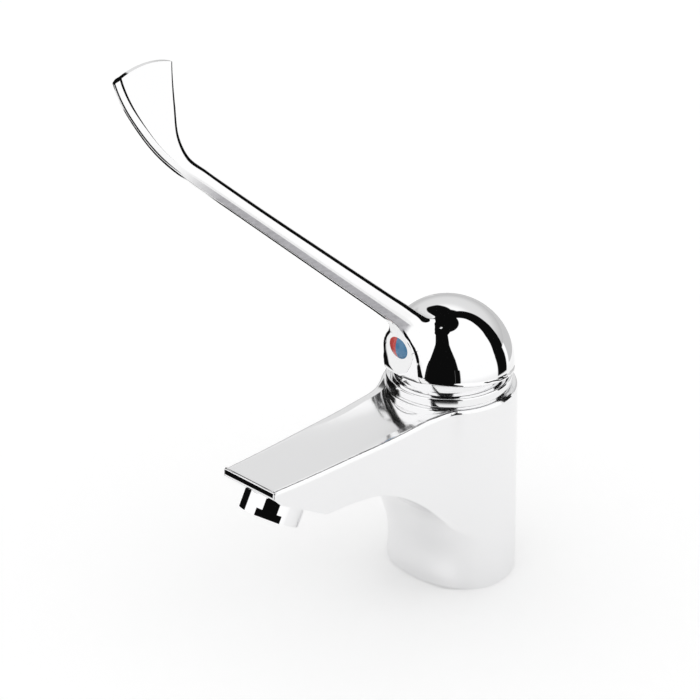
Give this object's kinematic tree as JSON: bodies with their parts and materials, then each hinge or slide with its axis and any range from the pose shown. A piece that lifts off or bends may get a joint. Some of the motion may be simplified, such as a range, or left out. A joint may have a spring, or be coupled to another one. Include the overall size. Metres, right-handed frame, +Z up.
{
  "type": "tap",
  "caption": "Single-hole basin tap with a flat-topped spout, a ball-shaped dome cap on a round neck and a long cranked elbow lever ending in an upright paddle.",
  "frame": {"origin": "on the deck plane under the foot, at the axis of the cartridge", "axes": "+Z up, spout and lever towards -Y, +X to the right seen from the spout's back"},
  "size_m": [0.054, 0.1998, 0.2693],
  "materials": {
    "chrome_body": "polished chrome plate on cast brass",
    "chrome_lever": "polished chrome plate on cast brass",
    "chrome_trim": "polished chrome plate",
    "chrome_collar": "polished chrome plate",
    "chrome_aerator": "polished chrome plate",
    "rubber_seal": "matt black",
    "cartridge_plastic": "natural acetal",
    "carrier_plastic": "grey acetal",
    "stop_plastic": "red acetal",
    "ceramic": "lapped alumina, stated as gloss plastic",
    "brass": "machined",
    "steel": "stainless",
    "hot_red": "gloss",
    "cold_blue": "gloss",
    "insert_plastic": "grey"
  },
  "bodies": {
    "root": {"tap_body": "chrome_body", "base_seal": "rubber_seal", "cartridge_base": "cartridge_plastic", "port_seals": "rubber_seal", "fixed_disc": "ceramic", "cartridge_housing": "cartridge_plastic", "housing_seal": "rubber_seal", "retaining_nut": "brass", "stop_ring": "stop_plastic", "trim_ring": "chrome_trim", "cover_collar": "chrome_collar", "aerator_housing": "chrome_aerator", "aerator_washer": "rubber_seal", "aerator_insert": "insert_plastic", "aerator_screen": "steel"},
    "rotor": {"stem_turret": "carrier_plastic", "pivot_pin": "steel"},
    "lever": {"lever_stem": "brass", "elbow_lever": "chrome_lever", "clamp_screw": "steel", "hot_marker": "hot_red", "cold_marker": "cold_blue"},
    "disc": {"moving_disc": "ceramic", "disc_carrier": "carrier_plastic"}
  },
  "joints": [
    {"name": "temperature_turn", "type": "hinge", "parent": "root", "child": "rotor", "pos_m": [0, 0, 0.0917], "axis": [0, 0, 1], "range_deg": [-50, 50]},
    {"name": "flow_lift", "type": "hinge", "parent": "rotor", "child": "lever", "pos_m": [0, 0, 0.0917], "axis": [-1, 0, 0], "range_deg": [-14, 0]},
    {"name": "disc_slide", "type": "slide", "parent": "rotor", "child": "disc", "axis": [0, 1, 0], "range_m": [0, 0.00487]}
  ],
  "couplings": [
    {"joint": "disc_slide", "follows": "flow_lift", "m_per_rad": -0.01995}
  ]
}
